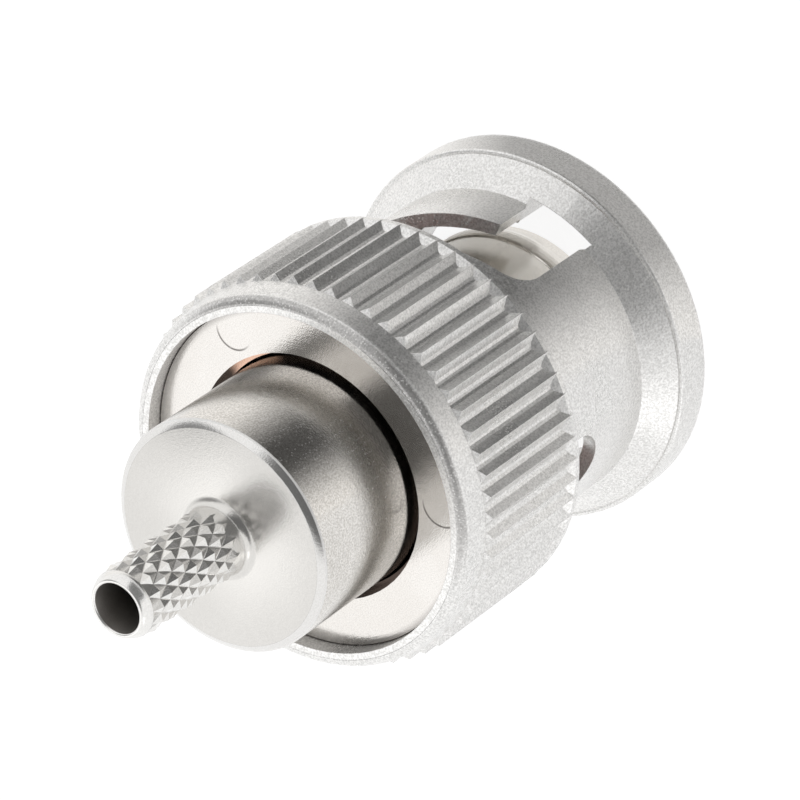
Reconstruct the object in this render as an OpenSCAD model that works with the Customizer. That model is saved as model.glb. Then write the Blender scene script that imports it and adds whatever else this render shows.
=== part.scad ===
// BNC plug for a thin coaxial cable, with a bayonet coupling nut and a crimp stem.
// Millimetres. +Z runs along the axis from the mating end to the cable end.
// The origin is the centre of the coupling nut's front face, on which the plug stands.
// The X axis runs through the two bayonet entries.
// Radii grow outwards from the spring sleeve, by the gaps and walls named below.

/* [Outer contact] */
// Diameter of the spring sleeve
sleeve_d = 8.2; // [7:0.05:10]
// Wall of the spring sleeve
sleeve_wall = 0.65; // [0.5:0.05:0.9]
// How far the sleeve's tip lies behind the nut's front face
sleeve_recess = 0.85; // [0.3:0.05:2]
// How far the bead near the tip swells beyond the sleeve
bead_swell = 0.11; // [0.05:0.01:0.2]
// Length of the bead
bead_len = 0.9; // [0.5:0.05:1.5]
// Plain length between the tip and the bead
bead_setback = 0.55; // [0.2:0.05:1]
// Number of fingers cut into the sleeve
finger_count = 4; // [2:1:6]
// Width of the cuts between the fingers
finger_gap = 0.35; // [0.2:0.05:0.6]
// Length of the fingers
finger_len = 5.4; // [3:0.1:6.5]
// Length of the tail pressed into the body
tail_len = 3.6; // [2.9:0.05:4.5]
// Wall of that tail
tail_wall = 0.55; // [0.3:0.05:0.8]
// How far the inner rib that holds the insulators stands in from the tail's bore
rib_depth = 0.55; // [0.3:0.05:0.8]
// Length of that rib
rib_len = 1; // [0.5:0.05:1.5]
// Distance from the rib's rear face to the rear end of the tail
rib_to_tail = 6.1; // [5:0.05:7.4]

/* [Coupling nut] */
// Length of the nut along its axis
nut_len = 14.65; // [13.5:0.05:18]
// Gap for the jack's barrel between the spring sleeve and the front bore
barrel_gap = 0.85; // [0.8:0.01:1.1]
// Length of the bore through the flange
front_bore_len = 2.2; // [1:0.05:3]
// How much the bore widens behind the flange, on the radius
bore_relief = 0.48; // [0.2:0.01:0.6]
// Wall of the neck between the flange and the grip
neck_wall = 0.52; // [0.4:0.01:0.9]
// Depth of the step that rests on the plug's shoulder
step_depth = 0.67; // [0.5:0.01:1]
// Width of the ledge that the retaining plate sits on
ledge_width = 0.21; // [0.1:0.01:0.4]
// Depth from the nut's rear edge to the retaining plate
recess_depth = 0.645; // [0.2:0.005:1]
// Length of the ridged grip
grip_len = 5.35; // [4:0.05:6.5]
// Wall between the plate's recess and the bottom of the grip's grooves
grip_wall = 0.665; // [0.4:0.005:1.5]
// Depth of the grooves between the ridges
groove_depth = 0.28; // [0.2:0.005:0.5]
// Number of ridges around the grip
ridge_count = 58; // [40:1:72]
// Angle of the first ridge crest from the X axis
ridge_phase = -0.82; // [-4:0.01:4]
// Length of the plain rim that closes the grooves at the front of the grip
grip_rim_len = 0.2; // [0.1:0.05:0.6]
// How far that rim lies below the ridge crests
grip_rim_drop = 0.03; // [0.02:0.01:0.3]
// Length over which the grooves run out to that rim
groove_runout = 0.3; // [0.2:0.05:1]
// Length of the slope at the ridges' rear ends
ridge_end = 0.12; // [0.1:0.01:0.4]
// Length of the plain band behind the ridges
rear_band_len = 1.05; // [0.8:0.05:1.6]
// How far that band lies below the ridge crests
rear_band_drop = 0.24; // [0.1:0.005:0.4]
// How much the band's radius tapers towards the nut's rear edge
rear_band_taper = 0.1; // [0:0.01:0.2]
// Rounding of the nut's rear outer edge
rear_round = 0.36; // [0.1:0.02:0.5]
// Wall of the flange outside the bayonet slots
flange_wall = 0.95; // [0.5:0.05:3]
// Length of the front flange
flange_len = 1.52; // [1:0.01:2]
// Length of the slope from the flange's rear edge down to the neck
flange_slope = 0.85; // [0.3:0.05:1]
// Rounding of the flange's outer edges
flange_edge = 0.12; // [0.05:0.01:0.3]

/* [Bayonet slots] */
// Width of each slot and of its ramp
slot_w = 2.45; // [2.2:0.05:2.6]
// How far the slots reach beyond the neck's outside, into the flange and the grip
slot_reach = 0.2; // [0.1:0.01:0.3]
// Width of each slot's mouth, through the flange
mouth_w = 2.88; // [2.6:0.01:3.3]
// Depth to which the mouth keeps that width
mouth_len = 2.1; // [1:0.05:2.6]
// Length over which the mouth narrows to the slot
mouth_taper = 0.5; // [0.1:0.05:0.9]
// Height at which the ramp's front wall leaves the axial slot
tongue_z = 4.15; // [3:0.05:5]
// Climb of the ramp around the nut
ramp_angle = 13; // [8:0.5:16]
// Turn from the slot's centre to the detent
detent_turn = 100; // [80:1:110]
// Height of the detent hole's centre
detent_z = 6.31; // [5.6:0.01:6.6]
// Diameter of the detent hole
detent_d = 2.44; // [2.2:0.02:2.6]

/* [Plug body] */
// Diameter of the body where it leaves the nut
body_d = 8.55; // [7.1:0.05:10.4]
// Wall of the body around the outer contact's tail
body_wall = 0.55; // [0.4:0.05:0.8]
// How far the body stands out behind the nut
body_reach = 4.4; // [3.6:0.05:8]
// Length of the chamfer at the body's rear end
body_chamfer_len = 0.2; // [0.1:0.05:0.5]
// Width of that chamfer
body_chamfer_w = 0.31; // [0.1:0.01:0.6]
// Thickness of the shoulder that the springs push against
shoulder_t = 0.7; // [0.5:0.05:1]
// Thickness of the wall at the body's rear end
end_wall = 2.25; // [1:0.05:2.8]
// Width of the step that traps the rear insulator
trap_step = 0.6; // [0.3:0.05:1]

/* [Crimp stem] */
// Length of the stem behind the body
stem_len = 5.6; // [4:0.05:8]
// Diameter of the cable bore through the stem
stem_bore_d = 1.82; // [1.7:0.01:2.2]
// Wall of the stem under its knurl
stem_wall = 0.375; // [0.3:0.005:0.7]
// Length of the tapered nose at the stem's tip
stem_nose_len = 0.4; // [0.25:0.05:1]
// How much the nose tapers, on the radius
stem_nose_drop = 0.185; // [0.05:0.005:0.2]
// Length of the relief in front of the knurl, with its flare
stem_relief_len = 0.75; // [0.5:0.05:1.5]
// How much thinner than the knurl the relief is at its flare, on the radius
stem_relief_drop = 0.08; // [0.02:0.01:0.2]
// Radius of the flare where the stem joins the body
stem_flare = 0.35; // [0.1:0.05:0.4]

/* [Insulators] */
// Length of the front insulator behind the rib
front_insulator_len = 3.8; // [2:0.05:4.5]
// Length of its nose in front of the rib's rear face
nose_len = 5.5; // [3:0.05:6.5]
// Wall of the cup in the nose, around the pin
cup_wall = 1.25; // [0.5:0.05:1.4]
// Depth of that cup
cup_depth = 3.9; // [2:0.05:5]

/* [Centre contact] */
// Diameter of the pin
pin_d = 1.35; // [1.1:0.01:1.6]
// How much thicker the shank in the insulator is than the pin, on the radius
shank_step = 0.175; // [0.16:0.005:0.18]
// How far the pin stands out of the insulator's nose
pin_reach = 1; // [0.2:0.05:1.2]
// Length of the crimp barrel behind the pin
barrel_len = 4.1; // [3:0.05:4.3]
// Diameter of the hole for the cable's conductor
wire_bore_d = 0.56; // [0.4:0.01:0.9]
// Depth of that hole
wire_bore_depth = 3; // [2:0.1:3.5]
// Diameter of the inspection hole in the barrel's side
inspection_d = 0.4; // [0.2:0.05:0.5]

/* [Springs and seals] */
// Thickness of the retaining plate
plate_t = 0.605; // [0.4:0.005:0.9]
// Thickness of the thrust washer
thrust_t = 0.3; // [0.2:0.05:0.5]
// Space that the two wave washers fill when the plug is at rest
spring_space = 1.5; // [1.2:0.05:2]
// Thickness of the wave washers' strip
wave_t = 0.2; // [0.1:0.01:0.25]
// Number of waves around each washer
wave_count = 3; // [3:1:5]
// Thickness of the sealing gasket
gasket_t = 1; // [0.6:0.05:1.5]

/* [Fits] */
// Radial gap of pieces pressed together
press_gap = 0.01; // [0.005:0.005:0.02]
// Gap of pieces that slip into each other
slip_gap = 0.05; // [0.02:0.01:0.1]
// Radial gap between the plug's pieces and what turns around them
turn_gap = 0.1; // [0.08:0.01:0.2]
// Radial gap between the plate and the body that passes through it
plate_gap = 0.3; // [0.2:0.05:0.4]
// Radial gap that lets the crimp barrel pass through the cable bore
barrel_slip = 0.04; // [0.02:0.01:0.1]
// Gap between a wave washer's crest and what it touches
crest_gap = 0.01; // [0.005:0.005:0.03]

/* [Hidden] */
$fn = 96;
// More than enough for a cutter to pass clear of what it cuts
over = 1;
// Steps in a small rounded edge
edge_steps = 4;

// Radii of the nut, from its front bore outwards
sleeve_r = sleeve_d / 2;
front_bore_r = sleeve_r + barrel_gap;
nut_bore_r = front_bore_r + bore_relief;
neck_r = nut_bore_r + neck_wall;
slot_reach_r = neck_r + slot_reach;
flange_r = slot_reach_r + flange_wall;
cavity_r = nut_bore_r + step_depth;
recess_r = cavity_r + ledge_width;
valley_r = recess_r + grip_wall;
crest_r = valley_r + groove_depth;
grip_rim_r = crest_r - grip_rim_drop;
rear_band_r = crest_r - rear_band_drop;

// Radii of the plug, from the body inwards
body_r = body_d / 2;
shoulder_r = cavity_r - turn_gap;
tail_r = body_r - body_wall;
seat_r = tail_r - tail_wall;
chamber_r = seat_r - trap_step;
rib_r = seat_r - rib_depth;
nose_r = rib_r - slip_gap;
cup_r = nose_r - cup_wall;
stem_bore_r = stem_bore_d / 2;
stem_r = stem_bore_r + stem_wall;
pin_r = pin_d / 2;
shank_r = pin_r + shank_step;
barrel_r = stem_bore_r - barrel_slip;

// Heights of the nut
grip_rear_z = nut_len - rear_band_len;
grip_front_z = grip_rear_z - grip_len;
plate_rear_z = nut_len - recess_depth;
plate_front_z = plate_rear_z - plate_t;

// Heights of the plug, from the plate forwards and then backwards
thrust_front_z = plate_front_z - thrust_t;
shoulder_rear_z = thrust_front_z - spring_space;
shoulder_front_z = shoulder_rear_z - shoulder_t;
tail_end_z = shoulder_front_z + tail_len;
rib_rear_z = tail_end_z - rib_to_tail;
nose_z = rib_rear_z - nose_len;
front_insulator_rear_z = rib_rear_z + front_insulator_len;
body_end_z = nut_len + body_reach;
stem_tip_z = body_end_z + stem_len;

// Where the middle of the ramp crosses the axial slot's centre line
slot_mean_r = (nut_bore_r + neck_r) / 2;
ramp_half = slot_w / 2 / cos(ramp_angle);
ramp_start_z = tongue_z + ramp_half - slot_w / 2 * tan(ramp_angle);

// Points along an arc about centre c, with both its ends
function arc(c, r, from, to, steps) =
    [for (i = [0:steps]) c + r * [cos(from + (to - from) * i / steps), sin(from + (to - from) * i / steps)]];

// Height of the ramp's middle line at a turn in degrees from the slot's centre
function ramp_z(turn) = ramp_start_z + slot_mean_r * turn * PI / 180 * tan(ramp_angle);

// A solid of revolution from an outline in [radius, height]
module turned(outline) {
    rotate_extrude() polygon(outline);
}

// A flat or long ring between two radii
module ring(outer_r, inner_r, z0, z1) {
    turned([[inner_r, z0], [outer_r, z0], [outer_r, z1], [inner_r, z1]]);
}

// The outside of the nut without its ridges
module nut_blank() {
    rear_edge_r = rear_band_r - rear_band_taper;
    // The rounding always leaves a narrow flat lip around the recess
    least_lip = 0.1;
    round_r = min(rear_round, rear_edge_r - recess_r - least_lip);
    // The flange's rear edge is rolled a little past the top, so it stands out as a fine bead
    roll = 120;
    turned(concat(
        [[0, 0]],
        arc([flange_r - flange_edge, flange_edge], flange_edge, -90, 0, edge_steps),
        arc([flange_r - flange_edge, flange_len - flange_edge], flange_edge, 0, roll, edge_steps),
        [
            [neck_r, flange_len + flange_slope],
            [neck_r, grip_front_z],
            [grip_rim_r, grip_front_z],
            [grip_rim_r, grip_front_z + grip_rim_len],
            [valley_r - groove_depth / 4, grip_front_z + grip_rim_len + groove_runout],
            [valley_r - groove_depth / 4, grip_rear_z],
            [rear_band_r, grip_rear_z]
        ],
        arc([rear_edge_r - round_r, nut_len - round_r], round_r, 0, 90, 2 * edge_steps),
        [[0, nut_len]]
    ));
}

// The ridges, sloped off at both ends, with rounded grooves between their flanks
module ridges() {
    pitch = 360 / ridge_count;
    front_z = grip_front_z + grip_rim_len / 4;
    flank_r = crest_r - 0.82 * groove_depth;
    // One pitch, as shares of the pitch and radii: crest, flank, groove's floor, flank
    profile = [[0, crest_r], [0.3, flank_r], [0.44, valley_r], [0.56, valley_r], [0.7, flank_r]];
    intersection() {
        translate([0, 0, grip_front_z])
        linear_extrude(grip_len)
        polygon([
            for (i = [0:ridge_count - 1], p = profile)
                let (a = ridge_phase + (i + p[0]) * pitch)
                    p[1] * [cos(a), sin(a)]
        ]);
        turned([
            [recess_r, front_z],
            [grip_rim_r, front_z],
            [crest_r + 0.01, front_z + grip_rim_drop + 0.2],
            [crest_r + 0.01, grip_rear_z - ridge_end],
            [rear_band_r - 0.03, grip_rear_z],
            [recess_r, grip_rear_z]
        ]);
    }
}

// The round inside of the nut: front bore, neck bore, spring cavity and plate seat
module nut_bore() {
    entry = 0.2;
    turned([
        [0, -over],
        [front_bore_r + entry + over, -over],
        [front_bore_r, entry],
        [front_bore_r, front_bore_len],
        [nut_bore_r, front_bore_len + bore_relief],
        [nut_bore_r, shoulder_front_z],
        [cavity_r, shoulder_front_z],
        [cavity_r, plate_front_z],
        [recess_r, plate_front_z],
        [recess_r, nut_len + over],
        [0, nut_len + over]
    ]);
}

// A straight cutter along X, for a hole or a channel end through the wall
module radial_hole(d, turn, z) {
    inner_r = front_bore_r - over;
    rotate([0, 0, turn])
    translate([inner_r, 0, z])
    rotate([0, 90, 0])
    cylinder(d = d, h = crest_r - inner_r + over);
}

// One bayonet slot: the axial entry and the ramp that climbs around the nut
module bayonet_slot() {
    ramp_steps = 9;
    step = detent_turn / ramp_steps;
    piece_len = 2 * slot_reach_r * tan(step / 2) + 0.02;
    inner_r = front_bore_r - over;
    wall = [
        [mouth_w / 2, -over],
        [mouth_w / 2, mouth_len],
        [slot_w / 2, mouth_len + mouth_taper],
        [slot_w / 2, ramp_start_z]
    ];
    intersection() {
        union() {
            translate([inner_r, 0, 0])
            rotate([90, 0, 90])
            linear_extrude(slot_reach_r - inner_r + over)
            polygon(concat(wall, [for (i = [3:-1:0]) [-wall[i].x, wall[i].y]]));
            radial_hole(slot_w, 0, ramp_start_z);
            for (i = [0:ramp_steps - 1])
                rotate([0, 0, (i + 0.5) * step])
                translate([inner_r, 0, ramp_z((i + 0.5) * step)])
                rotate([ramp_angle, 0, 0])
                translate([0, -piece_len / 2 / cos(ramp_angle), -slot_w / 2])
                cube([slot_reach_r - inner_r + over, piece_len / cos(ramp_angle), slot_w]);
            radial_hole(slot_w, detent_turn, ramp_z(detent_turn));
        }
        translate([0, 0, -2 * over]) cylinder(r = slot_reach_r, h = nut_len);
    }
}

module coupling_nut() {
    color("#c9c6c0")
    difference() {
        union() {
            nut_blank();
            ridges();
        }
        nut_bore();
        for (side = [0, 180]) {
            rotate([0, 0, side]) bayonet_slot();
            radial_hole(detent_d, side + detent_turn, detent_z);
        }
    }
}

module retaining_plate() {
    color("#dedbd6")
    ring(recess_r - press_gap, body_r + plate_gap, plate_front_z, plate_rear_z);
}

module thrust_washer() {
    color("#b07a55")
    ring(shoulder_r, body_r + turn_gap, thrust_front_z, plate_front_z);
}

// One wave washer as a strip swept round the body, its crests shifted by a turn
module wave_washer(mid_z, swing, turn) {
    steps = 32 * wave_count;
    inner_r = body_r + turn_gap + slip_gap;
    outer_r = shoulder_r - slip_gap;
    function middle(i) = mid_z + swing * cos(wave_count * (360 * i / steps - turn));
    function at(r, i, side) =
        [r * cos(360 * i / steps), r * sin(360 * i / steps), middle(i) + side * wave_t / 2];
    points = [
        for (i = [0:steps - 1])
            each [at(inner_r, i, -1), at(outer_r, i, -1), at(outer_r, i, 1), at(inner_r, i, 1)]
    ];
    faces = [
        for (i = [0:steps - 1], k = [0:3])
            let (here = 4 * i, next = 4 * ((i + 1) % steps), m = (k + 1) % 4)
                each [
                    [here + k, here + m, next + m],
                    [here + k, next + m, next + k]
                ]
    ];
    polyhedron(points, faces);
}

// The two wave washers, crest to crest between the shoulder and the thrust washer
module wave_washers() {
    each_space = (spring_space - 3 * crest_gap) / 2;
    swing = (each_space - wave_t) / 2;
    first_z = shoulder_rear_z + crest_gap + each_space / 2;
    color("#a9744f") {
        wave_washer(first_z, swing, 0);
        wave_washer(first_z + each_space + crest_gap, swing, 180 / wave_count);
    }
}

// The body with its shoulder and crimp stem, turned from one bar
module plug_body() {
    relief_r = stem_r - stem_relief_drop;
    stem_nose_r = stem_r - stem_nose_drop;
    relief_end_z = body_end_z + stem_relief_len;
    nose_edge = min(0.1, (stem_nose_r - stem_bore_r) / 2);
    color("#cfccc6")
    difference() {
        turned(concat(
            [
                [0, shoulder_front_z],
                [shoulder_r, shoulder_front_z],
                [shoulder_r, shoulder_rear_z],
                [body_r, shoulder_rear_z],
                [body_r, body_end_z - body_chamfer_len],
                [body_r - body_chamfer_w, body_end_z]
            ],
            arc([relief_r + stem_flare, body_end_z + stem_flare], stem_flare, 270, 180, edge_steps),
            [
                [stem_r, relief_end_z],
                [stem_r, stem_tip_z - stem_nose_len]
            ],
            arc([stem_nose_r - nose_edge, stem_tip_z - nose_edge], nose_edge, 0, 90, edge_steps),
            [[0, stem_tip_z]]
        ));
        turned([
            [0, shoulder_front_z - over],
            [tail_r + press_gap, shoulder_front_z - over],
            [tail_r + press_gap, tail_end_z + slip_gap],
            [chamber_r, tail_end_z + slip_gap],
            [chamber_r, body_end_z - end_wall],
            [0, body_end_z - end_wall]
        ]);
        translate([0, 0, body_end_z - end_wall - over])
        cylinder(r = stem_bore_r, h = stem_len + end_wall + 2 * over);
    }
}

// The spring sleeve: a bead near its tip, fingers, an inner rib and a tail
module outer_contact() {
    tip_r = sleeve_r - bead_swell;
    bead_front_z = sleeve_recess + bead_setback;
    bead_steps = 8;
    swell = [
        for (i = [0:bead_steps])
            let (a = 180 * i / bead_steps, grow = i < bead_steps / 2 ? 2 * bead_swell : bead_swell)
                [
                    sleeve_r + bead_swell - grow * (1 - sin(a)),
                    bead_front_z + bead_len * (1 - cos(a)) / 2
                ]
    ];
    color("#b3aea4")
    difference() {
        turned(concat(
            [
                [sleeve_r - sleeve_wall, sleeve_recess],
                [tip_r - 0.1, sleeve_recess],
                [tip_r, sleeve_recess + 0.1]
            ],
            swell,
            [
                [sleeve_r, shoulder_front_z],
                [tail_r, shoulder_front_z],
                [tail_r, tail_end_z],
                [seat_r, tail_end_z],
                [seat_r, rib_rear_z],
                [rib_r, rib_rear_z],
                [rib_r, rib_rear_z - rib_len],
                [sleeve_r - sleeve_wall, rib_rear_z - rib_len]
            ]
        ));
        for (i = [0:finger_count - 1])
            rotate([0, 0, (i + 0.7) * 360 / finger_count])
            translate([sleeve_r / 2, -finger_gap / 2, sleeve_recess - over])
            cube([sleeve_r, finger_gap, finger_len + over]);
    }
}

module sealing_gasket() {
    color("#b5482e")
    ring(nut_bore_r - turn_gap, sleeve_r + press_gap, shoulder_front_z - gasket_t, shoulder_front_z);
}

module front_insulator() {
    color("#f2efe8")
    turned([
        [cup_r, nose_z],
        [nose_r, nose_z],
        [nose_r, rib_rear_z],
        [seat_r - slip_gap, rib_rear_z],
        [seat_r - slip_gap, front_insulator_rear_z],
        [shank_r + press_gap, front_insulator_rear_z],
        [shank_r + press_gap, nose_z + cup_depth],
        [cup_r, nose_z + cup_depth]
    ]);
}

module rear_insulator() {
    color("#f2efe8")
    ring(seat_r - slip_gap, barrel_r + slip_gap, front_insulator_rear_z, tail_end_z);
}

module centre_contact() {
    tip_z = nose_z - pin_reach;
    barrel_end_z = front_insulator_rear_z + barrel_len;
    color("#c8a24a")
    difference() {
        turned(concat(
            [[0, tip_z], [pin_r / 3, tip_z]],
            [[pin_r * 0.75, tip_z + pin_r / 2], [pin_r, tip_z + pin_r * 1.2]],
            [
                [pin_r, nose_z + cup_depth],
                [shank_r, nose_z + cup_depth],
                [shank_r, front_insulator_rear_z],
                [barrel_r, front_insulator_rear_z],
                [barrel_r, barrel_end_z - 0.1],
                [barrel_r - 0.1, barrel_end_z],
                [0, barrel_end_z]
            ]
        ));
        translate([0, 0, barrel_end_z - wire_bore_depth])
        cylinder(d = wire_bore_d, h = wire_bore_depth + over);
        translate([0, 0, barrel_end_z - wire_bore_depth + inspection_d])
        rotate([0, 90, 0])
        cylinder(d = inspection_d, h = barrel_r + over);
    }
}

coupling_nut();
retaining_plate();
thrust_washer();
wave_washers();
plug_body();
outer_contact();
sealing_gasket();
front_insulator();
rear_insulator();
centre_contact();
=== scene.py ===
import logging
import math
from dataclasses import dataclass, field
from enum import Enum
from typing import Callable, Sequence

import bmesh
import bpy
from mathutils import Matrix, Vector


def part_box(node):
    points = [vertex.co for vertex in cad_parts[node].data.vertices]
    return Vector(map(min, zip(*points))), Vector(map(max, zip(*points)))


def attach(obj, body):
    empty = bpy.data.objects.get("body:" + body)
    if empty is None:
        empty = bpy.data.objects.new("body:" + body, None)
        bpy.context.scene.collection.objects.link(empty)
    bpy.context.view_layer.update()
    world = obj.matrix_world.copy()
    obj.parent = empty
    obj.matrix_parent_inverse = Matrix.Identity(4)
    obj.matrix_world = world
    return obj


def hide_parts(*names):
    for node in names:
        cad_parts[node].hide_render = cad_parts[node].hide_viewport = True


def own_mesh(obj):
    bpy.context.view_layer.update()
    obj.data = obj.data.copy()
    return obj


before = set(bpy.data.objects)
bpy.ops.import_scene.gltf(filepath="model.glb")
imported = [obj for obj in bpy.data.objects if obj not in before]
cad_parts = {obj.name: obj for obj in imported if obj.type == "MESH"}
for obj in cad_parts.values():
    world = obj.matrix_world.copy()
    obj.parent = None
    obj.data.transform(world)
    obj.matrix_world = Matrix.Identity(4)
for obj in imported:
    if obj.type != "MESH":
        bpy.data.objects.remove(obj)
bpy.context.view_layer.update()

log = logging.getLogger("bnc_plug")
MM = 0.001
PER_MM = 1000.0
Node = bpy.types.Node
Profile = list[tuple[float, float]]
Socket = bpy.types.NodeSocket
Stock = dict[str, bpy.types.Material]
Triple = tuple[float, float, float]


class Body(Enum):
    """The rigid bodies that the pieces ride on."""

    PLUG = "plug"
    THRUST = "thrust"
    NUT = "nut"


class Marks(Enum):
    """How a turned surface's tool marks run."""

    ROUND = "round"
    FACED = "faced"


# Node trees.


@dataclass
class Tree:
    """A node tree with short calls for adding and joining nodes."""

    tree: bpy.types.NodeTree

    def add(self, kind: str, **settings: object) -> Node:
        """Adds one node.

        Args:
            kind: The node's bl_idname.
            **settings: Properties of the node.

        Returns:
            The new node.
        """
        node = self.tree.nodes.new(kind)
        for name, value in settings.items():
            setattr(node, name, value)
        return node

    def put(self, socket: Socket, value: object) -> None:
        """Feeds a socket with another socket or with a constant.

        Args:
            socket: The input to feed.
            value: An output socket, or a constant.
        """
        if isinstance(value, Socket):
            self.tree.links.new(value, socket)
        else:
            socket.default_value = value

    def fed(self, kind: str, *values: object, **settings: object) -> Node:
        """Adds one node and feeds its first inputs.

        Args:
            kind: The node's bl_idname.
            *values: Its first inputs, each a socket or a constant.
            **settings: Properties of the node.

        Returns:
            The new node.
        """
        node = self.add(kind, **settings)
        for socket, value in zip(node.inputs, values):
            self.put(socket, value)
        return node

    def math(self, operation: str, *values: object) -> Socket:
        """Adds a Math node for an operation on sockets or numbers, and gives its output."""
        return self.fed("ShaderNodeMath", *values, operation=operation).outputs[0]

    def fold(self, operation: str, first: object, *others: object) -> object:
        """Joins several values by one Math operation, two at a time.

        Args:
            operation: The operation.
            first: The first value.
            *others: The values to join to it.

        Returns:
            The result.
        """
        for other in others:
            first = self.math(operation, first, other)
        return first

    def dot(self, first: object, second: object) -> Socket:
        """Gives the dot product of two vectors."""
        node = self.fed("ShaderNodeVectorMath", first, second, operation="DOT_PRODUCT")
        return node.outputs["Value"]

    def split(self, vector: object) -> Sequence[Socket]:
        """Gives a vector's three parts."""
        return self.fed("ShaderNodeSeparateXYZ", vector).outputs

    def join(self, *parts: object) -> Socket:
        """Makes a vector of up to three parts."""
        return self.fed("ShaderNodeCombineXYZ", *parts).outputs[0]

    def by_size(self, vector: object, size: object) -> Socket:
        """Scales a place in metres so that a given size becomes one.

        Args:
            vector: The place.
            size: The size in millimetres.

        Returns:
            The scaled place.
        """
        node = self.fed("ShaderNodeVectorMath", vector, operation="SCALE")
        self.put(node.inputs["Scale"], self.math("DIVIDE", PER_MM, size))
        return node.outputs[0]

    def noise(self, place: object, scale: float, detail: float) -> Socket:
        """Adds a noise texture.

        Args:
            place: The place it is read at: a vector, or a number for noise along a line.
            scale: Its scale.
            detail: Its detail.

        Returns:
            The noise.
        """
        along_line = place.type == "VALUE"
        node = self.add("ShaderNodeTexNoise", noise_dimensions="1D" if along_line else "3D")
        inputs = {"W" if along_line else "Vector": place, "Scale": scale, "Detail": detail}
        for name, value in inputs.items():
            self.put(node.inputs[name], value)
        return node.outputs[0]

    def ramp(
        self, value: object, low: object, high: object, out_low: float = 0.0, out_high: float = 1.0
    ) -> Socket:
        """Maps a value from one range to another with smooth ends.

        Args:
            value: The value to map.
            low: Where the output reaches out_low.
            high: Where the output reaches out_high.
            out_low: The output at low.
            out_high: The output at high.

        Returns:
            The mapped value.
        """
        node = self.add("ShaderNodeMapRange", interpolation_type="SMOOTHSTEP")
        names = ("Value", "From Min", "From Max", "To Min", "To Max")
        for name, number in zip(names, (value, low, high, out_low, out_high)):
            self.put(node.inputs[name], number)
        return node.outputs["Result"]

    def blend(self, factor: object, first: object, second: object) -> Socket:
        """Mixes two colours.

        Args:
            factor: How much of the second colour shows.
            first: The first colour: a socket, or red, green and blue.
            second: The second colour, in the same way.

        Returns:
            The mixed colour.
        """
        node = self.fed("ShaderNodeMix", factor, data_type="RGBA")
        colour_inputs, colour_output = node.inputs[6:8], node.outputs[2]
        for socket, colour in zip(colour_inputs, (first, second)):
            self.put(socket, colour if isinstance(colour, Socket) else (*colour, 1.0))
        return colour_output


def shader_group(
    name: str, fill: Callable[[Tree, Node, Node], None], inputs: str, outputs: str
) -> bpy.types.NodeTree:
    """Builds one shared shader node group.

    Args:
        name: The group's name.
        fill: Makes the nodes between the group's input and output.
        inputs: The names of its inputs: numbers, apart from Vector and Rounded.
        outputs: The names of its number outputs.

    Returns:
        The group.
    """
    group = bpy.data.node_groups.new(name, "ShaderNodeTree")
    for key in inputs.split():
        kind = "NodeSocketVector" if key in ("Vector", "Rounded") else "NodeSocketFloat"
        group.interface.new_socket(key, in_out="INPUT", socket_type=kind)
    for key in outputs.split():
        group.interface.new_socket(key, in_out="OUTPUT", socket_type="NodeSocketFloat")
    tree = Tree(group)
    fill(tree, tree.add("NodeGroupInput"), tree.add("NodeGroupOutput"))
    return group


def fill_grain(t: Tree, given: Node, out: Node) -> None:
    """Blasted grain: pits at two sizes, and a mask of a few crystal facets that finishes paint
    bright as sparkle.

    Args:
        t: The group's tree.
        given: The group's inputs: Vector, Grain in millimetres, and Flecks.
        out: The group's outputs: Height, Tone and Fleck.
    """
    detail, coarse_scale, coarse_weight, facet_scale = 2.0, 0.27, 0.8, 0.8
    place = t.by_size(given.outputs["Vector"], given.outputs["Grain"])
    fine = t.noise(place, 1.0, detail)
    coarse = t.noise(place, coarse_scale, detail)
    facets = t.add("ShaderNodeTexVoronoi")
    t.put(facets.inputs["Vector"], place)
    t.put(facets.inputs["Scale"], facet_scale)
    chance = t.fed("ShaderNodeSeparateColor", facets.outputs["Color"]).outputs[0]
    picked = t.math("GREATER_THAN", chance, t.math("SUBTRACT", 1.0, given.outputs["Flecks"]))
    core = t.ramp(facets.outputs["Distance"], 0.5, 0.15)
    t.put(out.inputs["Height"], t.math("MULTIPLY_ADD", coarse, coarse_weight, fine))
    t.put(out.inputs["Tone"], t.ramp(fine, 0.3, 0.7))
    t.put(out.inputs["Fleck"], t.math("MULTIPLY", picked, core))


def fill_polar(t: Tree, given: Node, out: Node) -> None:
    """Reads a place on the part as radius, turn and height.

    Args:
        t: The group's tree.
        given: The group's input: Vector.
        out: The group's outputs: Radius and Rise in millimetres, and Turn in degrees.
    """
    x, y, z = t.split(given.outputs["Vector"])
    radius = t.fed("ShaderNodeVectorMath", t.join(x, y), operation="LENGTH").outputs["Value"]
    t.put(out.inputs["Radius"], t.math("MULTIPLY", radius, PER_MM))
    t.put(out.inputs["Turn"], t.math("MULTIPLY", t.math("ARCTAN2", y, x), math.degrees(1.0)))
    t.put(out.inputs["Rise"], t.math("MULTIPLY", z, PER_MM))


def fill_turning(t: Tree, given: Node, out: Node) -> None:
    """Fine lathe lines, by height on round faces and by radius on faced ones.

    Args:
        t: The group's tree.
        given: The group's inputs: Radius, Rise and Pitch in millimetres, and Faced.
        out: The group's output: Height.
    """
    g = given.outputs
    across = t.math("SUBTRACT", g["Radius"], g["Rise"])
    run = t.math("MULTIPLY_ADD", across, g["Faced"], g["Rise"])
    t.put(out.inputs["Height"], t.noise(t.math("DIVIDE", run, g["Pitch"]), 1.0, 3.0))


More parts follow.
